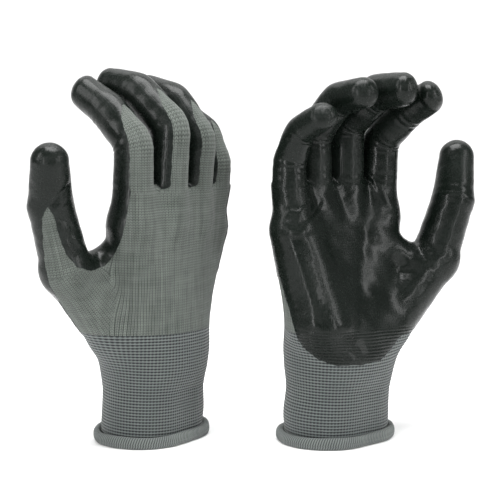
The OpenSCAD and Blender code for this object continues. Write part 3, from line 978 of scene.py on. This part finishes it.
def noise(nt, scale, detail=2.0, rough=0.5, vec=None, stretch=None):
    n = node(nt, "ShaderNodeTexNoise")
    n.inputs["Scale"].default_value = scale
    n.inputs["Detail"].default_value = detail
    n.inputs["Roughness"].default_value = rough
    if vec is None:
        tc = node(nt, "ShaderNodeTexCoord")
        vec = tc.outputs["Object"]
    if stretch:
        mp = node(nt, "ShaderNodeMapping")
        mp.inputs["Scale"].default_value = stretch
        nt.links.new(vec, mp.inputs[0])
        vec = mp.outputs[0]
    nt.links.new(vec, n.inputs["Vector"])
    return n.outputs["Fac"]


def attribute(nt, name, out="Fac"):
    n = node(nt, "ShaderNodeAttribute", attribute_name=name)
    return n.outputs[out]


def knit_height(nt, layer, wale=0.45, course=0.35, lean=0.55):
    """Height of a plain knit from a map whose units are wales and courses: rows of V stitches."""
    uvn = node(nt, "ShaderNodeUVMap", uv_map=layer)
    sep = node(nt, "ShaderNodeSeparateXYZ")
    nt.links.new(uvn.outputs[0], sep.inputs[0])
    u, v = sep.outputs[0], sep.outputs[1]
    fu = math_(nt, "FRACT", u)
    off = math_(nt, "ABSOLUTE", math_(nt, "SUBTRACT", fu, 0.5))  # 0 in the middle of the wale, 0.5 at its edge
    leg = math_(nt, "ABSOLUTE", math_(nt, "SUBTRACT", off, 0.25))  # 0 along the leg's middle
    across = math_(nt, "SQRT", math_(nt, "MAXIMUM", math_(nt, "SUBTRACT", 1.0, math_(nt, "POWER", math_(nt, "MULTIPLY", leg, 3.4), 2.0)), 0.0))
    row = math_(nt, "FRACT", math_(nt, "ADD", v, math_(nt, "MULTIPLY", off, 2 * lean)))
    along = math_(nt, "SINE", math_(nt, "MULTIPLY", row, math.pi))
    if wale is None:
        wale, course = span(nt, v, 22.0, 42.0, 0.85, 0.45), span(nt, v, 22.0, 42.0, 0.62, 0.35)
    groove = mix_val(nt, span(nt, off, 0.30, 0.49, 0.0, 1.0), 1.0, 0.12)
    groove = mix_val(nt, wale, 1.0, groove)
    h = math_(nt, "MULTIPLY", across, mix_val(nt, along, course, 1.0))
    h = math_(nt, "MULTIPLY", h, groove)
    return h, u, v, along


def bump(nt, h, distance, strength=1.0, normal=None):
    b = node(nt, "ShaderNodeBump")
    b.inputs["Strength"].default_value = strength
    b.inputs["Distance"].default_value = distance
    put(nt, b.inputs["Height"], h)
    if normal is not None:
        nt.links.new(normal, b.inputs["Normal"])
    return b.outputs[0]


def uv_streaks(nt, wide, tall, detail=2):
    """Slow brightness changes that follow the wales (wide, tall: how fast they change across and along)."""
    uvn = node(nt, "ShaderNodeUVMap", uv_map="stitch")
    return noise(nt, 1.0, detail, 0.55, uvn.outputs[0], stretch=(wide, tall, 1.0))


def knit_material(name, two):
    m, nt, bs = new_material(name)
    h, u, v, along = knit_height(nt, "stitch", *((None, None) if two else ()))
    if two:
        h2, *_ = knit_height(nt, "stitch_thumb")
        h = mix_val(nt, attribute(nt, "thumb"), h, h2)
    fuzz = noise(nt, 2600, 3, 0.6)
    patch = noise(nt, 42, 3, 0.55)
    line = noise(nt, 160, 2, 0.5)
    hh = math_(nt, "ADD", h, math_(nt, "MULTIPLY", fuzz, 0.4))
    nrm = bump(nt, hh, 0.00034, 0.9)
    # Colour follows the stitch height: painted shade in the grooves between wales and courses, light on the loop
    # crowns.
    col = ramp(nt, h, [(0.0, (0.013, 0.016, 0.014)), (0.35, (0.050, 0.057, 0.051)), (1.0, (0.154, 0.172, 0.155))])
    col = mix_col(nt, span(nt, patch, 0.3, 0.7, 0.0, 1.0), col, mix_col(nt, 1.0, col, (0.84, 0.86, 0.85), "MULTIPLY"))
    tall = span(nt, uv_streaks(nt, 0.85, 0.035), 0.36, 0.66, 0.78, 1.13)
    wide = span(nt, uv_streaks(nt, 0.05, 0.75), 0.36, 0.66, 0.90, 1.08)
    both = math_(nt, "MULTIPLY", tall, wide)
    rgb = node(nt, "ShaderNodeCombineColor")
    for i in range(3):
        nt.links.new(both, rgb.inputs[i])
    col = mix_col(nt, 1.0, col, rgb.outputs[0], "MULTIPLY")
    col = mix_col(nt, span(nt, line, 0.40, 0.75, 0.0, 0.25), col, (0.140, 0.155, 0.142))
    nt.links.new(col, bs.inputs["Base Color"])
    nt.links.new(span(nt, fuzz, 0.3, 0.7, 0.82, 0.97), bs.inputs["Roughness"])
    nt.links.new(nrm, bs.inputs["Normal"])
    bs.inputs["Specular IOR Level"].default_value = 0.22
    bs.inputs["Sheen Weight"].default_value = 0.10
    bs.inputs["Sheen Roughness"].default_value = 0.5
    return m


def nitrile_material(name, ribs):
    m, nt, bs = new_material(name)
    big = noise(nt, 55, 3, 0.5)
    grain = noise(nt, 900, 4, 0.62)
    fine = noise(nt, 3200, 2, 0.5)
    wrink = noise(nt, 210, 3, 0.55, stretch=(1.0, 1.0, 2.2))
    coat = attribute(nt, "coat")
    thin = span(nt, coat, 0.0, 2.4, 1.0, 0.0)
    yarn, u, v, along = knit_height(nt, "stitch", 0.7, 0.5)
    yarn = math_(nt, "MULTIPLY", yarn, span(nt, big, 0.40, 0.62, 0.25, 1.0))
    n0 = bump(nt, yarn, 0.00009, 0.7)
    if ribs:
        z = math_(nt, "ADD", math_(nt, "MULTIPLY", v, 1.4 / COURSE), (60.0 / COURSE) % 1.0)
        rib = math_(nt, "SUBTRACT", 1.0, math_(nt, "ABSOLUTE", math_(nt, "COSINE", math_(nt, "MULTIPLY", z, math.pi))))
        rib = math_(nt, "MULTIPLY", rib, span(nt, v, 2.0, 4.0, -1.0, 0.0))
        n0 = bump(nt, rib, 0.00042, 1.0, n0)
    h = math_(nt, "ADD", math_(nt, "MULTIPLY", grain, 0.5), math_(nt, "MULTIPLY", fine, 0.22))
    n1 = bump(nt, wrink, 0.00024, 0.5, n0)
    n2 = bump(nt, h, 0.00007, 0.6, n1)
    col = ramp(nt, big, [(0.3, (0.0030, 0.0048, 0.0036)), (0.7, (0.0056, 0.0080, 0.0064))])
    speck = span(nt, grain, 0.45, 0.75, 0.0, 0.5)
    col = mix_col(nt, speck, col, (0.0088, 0.0114, 0.0096))
    edge = math_(nt, "MULTIPLY", thin, span(nt, wrink, 0.35, 0.65, 0.15, 0.6))
    col = mix_col(nt, edge, col, (0.014, 0.017, 0.016))
    nt.links.new(col, bs.inputs["Base Color"])
    rg = math_(nt, "ADD", span(nt, big, 0.3, 0.7, 0.20, 0.29), span(nt, grain, 0.3, 0.7, -0.04, 0.08))
    nt.links.new(rg, bs.inputs["Roughness"])
    nt.links.new(n2, bs.inputs["Normal"])
    bs.inputs["Specular IOR Level"].default_value = 0.15
    bs.inputs["Coat Weight"].default_value = 0.07
    bs.inputs["Coat Roughness"].default_value = 0.09
    return m


def rib_material():
    m, nt, bs = new_material("rib_knit")
    uvn = node(nt, "ShaderNodeUVMap", uv_map="stitch")
    sep = node(nt, "ShaderNodeSeparateXYZ")
    nt.links.new(uvn.outputs[0], sep.inputs[0])
    u, v = sep.outputs[0], sep.outputs[1]
    fu = math_(nt, "FRACT", u)
    fv = math_(nt, "FRACT", v)
    du = math_(nt, "MINIMUM", fu, math_(nt, "SUBTRACT", 1.0, fu))
    dv = math_(nt, "ABSOLUTE", math_(nt, "SUBTRACT", fv, 0.5))
    groove = span(nt, dv, 0.0, 0.30, 0.0, 1.0)  # 0 in the groove between courses
    dot = math_(nt, "SQRT", math_(nt, "ADD", math_(nt, "POWER", math_(nt, "DIVIDE", du, 0.44), 2.0), math_(nt, "POWER", math_(nt, "DIVIDE", dv, 0.38), 2.0)))
    dot = span(nt, dot, 0.35, 1.15, 0.0, 1.0)
    twist = math_(nt, "SINE", math_(nt, "ADD", math_(nt, "MULTIPLY", u, 6 * math.pi), math_(nt, "MULTIPLY", v, 4 * math.pi)))
    fuzz = noise(nt, 2200, 3, 0.6)
    patch = noise(nt, 48, 3, 0.55)
    h = math_(nt, "ADD", math_(nt, "MULTIPLY", groove, 0.5), math_(nt, "MULTIPLY", dot, 0.6))
    h = math_(nt, "ADD", h, math_(nt, "MULTIPLY", twist, 0.10))
    h = math_(nt, "ADD", h, math_(nt, "MULTIPLY", fuzz, 0.5))
    nrm = bump(nt, h, 0.00030, 0.8)
    # Painted shade: the colour is darkest in the middle of each stitch hole and darker in the grooves between courses.
    hole_groove_shade = math_(nt, "MULTIPLY", dot, mix_val(nt, groove, 0.55, 1.0))
    col = ramp(nt, hole_groove_shade, [(0.0, (0.005, 0.007, 0.008)), (0.5, (0.028, 0.033, 0.034)), (1.0, (0.128, 0.145, 0.138))])
    col = mix_col(nt, span(nt, patch, 0.3, 0.7, 0.0, 1.0), col, mix_col(nt, 1.0, col, (0.84, 0.85, 0.87), "MULTIPLY"))
    col = mix_col(nt, span(nt, fuzz, 0.5, 0.8, 0.0, 0.25), col, (0.15, 0.165, 0.162))
    nt.links.new(col, bs.inputs["Base Color"])
    nt.links.new(span(nt, fuzz, 0.3, 0.7, 0.82, 0.97), bs.inputs["Roughness"])
    nt.links.new(nrm, bs.inputs["Normal"])
    bs.inputs["Specular IOR Level"].default_value = 0.25
    bs.inputs["Sheen Weight"].default_value = 0.25
    return m


def hem_material():
    m, nt, bs = new_material("hem_thread")
    uvn = node(nt, "ShaderNodeUVMap", uv_map="stitch")
    sep = node(nt, "ShaderNodeSeparateXYZ")
    nt.links.new(uvn.outputs[0], sep.inputs[0])
    u, v = sep.outputs[0], sep.outputs[1]
    ph = math_(nt, "ADD", u, math_(nt, "MULTIPLY", v, 0.84 * 2 * math.pi))
    ridge = math_(nt, "ABSOLUTE", math_(nt, "SINE", math_(nt, "MULTIPLY", ph, math.pi)))
    ply = math_(nt, "SINE", math_(nt, "ADD", math_(nt, "MULTIPLY", ph, 4 * math.pi), math_(nt, "MULTIPLY", v, 60.0)))
    fuzz = noise(nt, 2400, 3, 0.6)
    patch = noise(nt, 70, 3, 0.55)
    h = math_(nt, "ADD", math_(nt, "MULTIPLY", ridge, 0.7), math_(nt, "MULTIPLY", fuzz, 0.5))
    h = math_(nt, "ADD", h, math_(nt, "MULTIPLY", ply, 0.10))
    nrm = bump(nt, h, 0.00028, 0.85)
    # Painted shade: the thread is dark in the gaps between the wrapped ridges and light on their crowns.
    col = ramp(nt, ridge, [(0.0, (0.014, 0.016, 0.015)), (0.45, (0.068, 0.076, 0.072)), (1.0, (0.172, 0.190, 0.180))])
    col = mix_col(nt, span(nt, patch, 0.3, 0.7, 0.0, 1.0), col, mix_col(nt, 1.0, col, (0.80, 0.81, 0.83), "MULTIPLY"))
    col = mix_col(nt, span(nt, fuzz, 0.5, 0.8, 0.0, 0.3), col, (0.18, 0.196, 0.188))
    nt.links.new(col, bs.inputs["Base Color"])
    nt.links.new(span(nt, fuzz, 0.3, 0.7, 0.80, 0.96), bs.inputs["Roughness"])
    nt.links.new(nrm, bs.inputs["Normal"])
    bs.inputs["Specular IOR Level"].default_value = 0.25
    bs.inputs["Sheen Weight"].default_value = 0.2
    return m


def elastic_material():
    m, nt, bs = new_material("elastic_yarn")
    fib = noise(nt, 1500, 3, 0.6, stretch=(1, 1, 4))
    w = node(nt, "ShaderNodeTexWave", wave_type="BANDS", bands_direction="DIAGONAL")
    w.inputs["Scale"].default_value = 700
    w.inputs["Distortion"].default_value = 1.5
    tc = node(nt, "ShaderNodeTexCoord")
    nt.links.new(tc.outputs["Object"], w.inputs["Vector"])
    h = math_(nt, "ADD", w.outputs["Fac"], math_(nt, "MULTIPLY", fib, 0.6))
    # Partly painted shade: colour follows the bump's height and is darker in the grooves of the wave bands; the fibre
    # noise adds random tone.
    col = ramp(nt, h, [(0.2, (0.10, 0.105, 0.11)), (1.1, (0.33, 0.34, 0.35))])
    nt.links.new(col, bs.inputs["Base Color"])
    nt.links.new(span(nt, fib, 0.3, 0.7, 0.7, 0.9), bs.inputs["Roughness"])
    nt.links.new(bump(nt, h, 0.0002, 0.7), bs.inputs["Normal"])
    bs.inputs["Specular IOR Level"].default_value = 0.3
    return m


MAT = {
    "knit_hand": knit_material("knit_hand", True),
    "knit": knit_material("knit_finger", False),
    "nitrile_palm": nitrile_material("nitrile_dip_palm", True),
    "nitrile": nitrile_material("nitrile_dip", False),
    "rib": rib_material(),
    "hem": hem_material(),
    "elastic": elastic_material(),
}


# ------------------------------------------------------------------ pieces
def finish_piece(ob, mat, cad_node):
    ob.data.materials.append(MAT[mat])
    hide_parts(cad_node)
    return ob


def coat_out(q):
    return 0.16 + 0.46 * step(0.0, 1.5, q[:, 9])


LABELS = {0: "palm"}
for i, n in enumerate(FINGERS):
    LABELS[1 + i], LABELS[6 + i] = n + "_base", n + "_tip"
LABELS[5], LABELS[10] = "thumb_base", "thumb_tip"

table, faces, label, coated, above = parts()
cuff_v, cuff_f, cuff_uv = cuff_table()
hem_v, hem_f, hem_uv, hem_turns, hem_rows = hem_table()


def pt(g, p):
    return tuple(float(x) * MM for x in place(g, np.asarray(p, float)))


for g in "ab":
    P = "glove_%s_" % g
    cuffb, handb = P + "cuff_body", P + "hand_body"
    for lab, word in LABELS.items():
        two = lab == 0
        uvs = [("stitch", lambda q, lab=lab: stitch_uv(q, lab))]
        if two:
            uvs.append(("stitch_thumb", thumb_uv))
        k = (label == lab) & (above if lab == 0 else True)
        lin = shell(g, P + ("hand" if two else word) + "_knit", table, faces[k], lab, 0.0, -0.8, uvs)
        k = (label == lab) & coated
        coa = shell(g, P + word + "_dip", table, faces[k], lab, coat_out, 0.04, uvs)
        if two:
            names = (P + "hand_liner", P + "palm_coating")
        else:
            names = (P + word + "_liner", P + word + "_coating")
        finish_piece(lin, "knit_hand" if two else "knit", names[0])
        finish_piece(coa, "nitrile_palm" if two else "nitrile", names[1])
        if two:
            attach(lin, handb)
            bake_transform(coa)
            continue
        finger = word.split("_")[0]
        baseb, tipb = P + finger + "_base_body", P + finger + "_tip_body"
        if finger == "thumb":
            if lab == 5:
                a, b, s, e = handb, baseb, TH0 - TH_AXIS * 8.0, TH0 + TH_AXIS * 8.5
            else:
                a, b, s, e = baseb, tipb, TH[2] - TH_AXIS * 9.0, TH[2] + TH_AXIS * 9.0
        else:
            fg = FG[FINGERS.index(finger)]
            if lab <= 4:
                lo, hi = ROOT_BLEND[finger]
                a, b, s, e = handb, baseb, (fg.x, fg.y, lo), (fg.x, fg.y, hi)
            else:
                pivot, d, half, at, drop = seam_of(fg)
                a, b, s, e = baseb, tipb, pivot - d * half, pivot + d * half
        for ob in (lin, coa):
            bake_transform(ob)
    cuff = grid_object(P + "rib_cuff", place(g, cuff_v), cuff_f, cuff_uv, WALES)
    finish_piece(cuff, "rib", P + "cuff")
    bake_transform(cuff)
    hem = grid_object(P + "overlock_hem", place_flat(g, hem_v), hem_f, hem_uv, hem_turns, 1.0)
    finish_piece(hem, "hem", P + "hem")
    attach(hem, cuffb)
    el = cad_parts[P + "cuff_elastic"]
    el.data.materials.clear()
    el.data.materials.append(MAT["elastic"])

# ------------------------------------------------------------------ floor and light
fm, nt, bs = new_material("studio_floor")
fn = noise(nt, 3.0, 2, 0.5)
nt.links.new(ramp(nt, fn, [(0.3, (0.86, 0.86, 0.86)), (0.7, (0.88, 0.88, 0.88))]), bs.inputs["Base Color"])
bs.inputs["Roughness"].default_value = 0.9
bs.inputs["Specular IOR Level"].default_value = 0.1
cols = 24
prof = [(-3.0, 0.0), (0.9, 0.0)]
for i in range(1, 13):
    a = i / 12 * math.pi / 2
    prof.append((0.9 + 0.8 * math.sin(a), 0.8 - 0.8 * math.cos(a)))
prof.append((1.7, 3.5))
fv = np.array([[x, y, z] for y, z in prof for x in np.linspace(-4, 4, cols)]) * 1000
fq = np.array([[i * cols + j, i * cols + j + 1, (i + 1) * cols + j + 1, (i + 1) * cols + j] for i in range(len(prof) - 1) for j in range(cols - 1)])
floor = mesh_object("studio_floor", fv, fq)
floor.data.materials.append(fm)
floor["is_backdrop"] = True


def area(name, loc, aim, size, power, tint=(1, 1, 1)):
    d = bpy.data.lights.new(name, "AREA")
    d.shape, d.size, d.size_y = "RECTANGLE", *size
    d.energy, d.color = power, tint
    o = bpy.data.objects.new(name, d)
    bpy.context.scene.collection.objects.link(o)
    o.location = loc
    o.rotation_mode = "QUATERNION"
    o.rotation_quaternion = (Vector(aim) - Vector(loc)).to_track_quat("-Z", "Y")
    return o


area("top_soft", (0.0, -0.05, 1.0), (0, 0, 0.1), (0.75, 0.5), 15)
area("left_soft", (-1.1, -0.45, 0.75), (0, 0, 0.12), (0.35, 0.9), 6.5)
area("right_soft", (1.15, -0.45, 0.65), (0, 0, 0.12), (0.3, 0.9), 6.5)
area("front_fill", (0.0, -1.7, 1.0), (0, 0, 0.1), (1.6, 0.9), 4.5)
area("left_strip", (-0.85, -1.25, 0.40), (-0.03, 0, 0.11), (0.13, 0.9), 7.5)
area("right_strip", (1.0, -1.0, 0.40), (0.03, 0, 0.11), (0.10, 0.9), 4.0)
area("back_wash", (0.0, 1.35, 1.9), (0, 1.35, 0.2), (3.0, 1.2), 24)
world = bpy.data.worlds.new("studio_world")
bpy.context.scene.world = world
world.use_nodes = True
world.node_tree.nodes["Background"].inputs[0].default_value = (1.0, 1.0, 1.0, 1)
world.node_tree.nodes["Background"].inputs[1].default_value = 0.32
bpy.context.scene.view_settings.view_transform = "Standard"

lo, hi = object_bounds()
